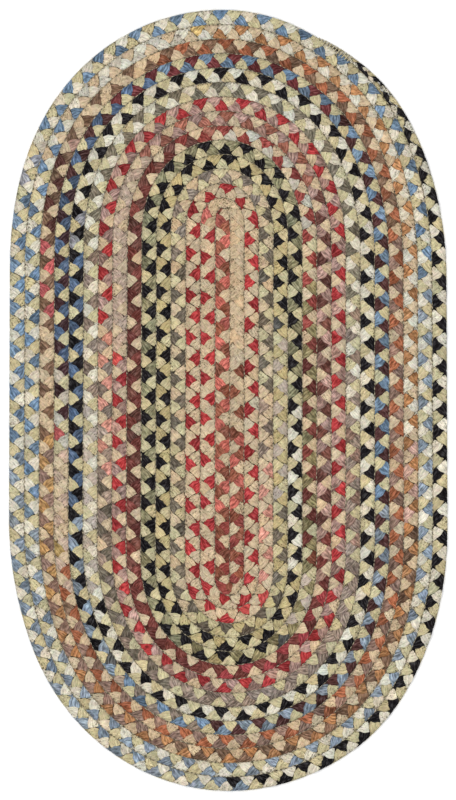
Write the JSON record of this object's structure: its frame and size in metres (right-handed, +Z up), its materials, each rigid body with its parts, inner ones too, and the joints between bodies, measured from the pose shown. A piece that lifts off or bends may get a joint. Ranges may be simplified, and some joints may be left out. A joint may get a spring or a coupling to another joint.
{
  "type": "braided rug",
  "caption": "Flat oval rug of one three-strand cloth braid wound outwards in a spiral, its rows standing as ribs on both faces.",
  "frame": {"origin": "on the floor, under the middle of the rug's outline", "axes": "+X across the rug, +Y along it towards the end where the braid begins and its tail closes, +Z up out of the upper face"},
  "size_m": [0.686, 1.219, 0.01],
  "materials": {
    "braid_cloth": "matte heathered wool-blend yarn in mixed colours"
  },
  "bodies": {
    "root": {"braided_rug": "braid_cloth"}
  },
  "joints": []
}
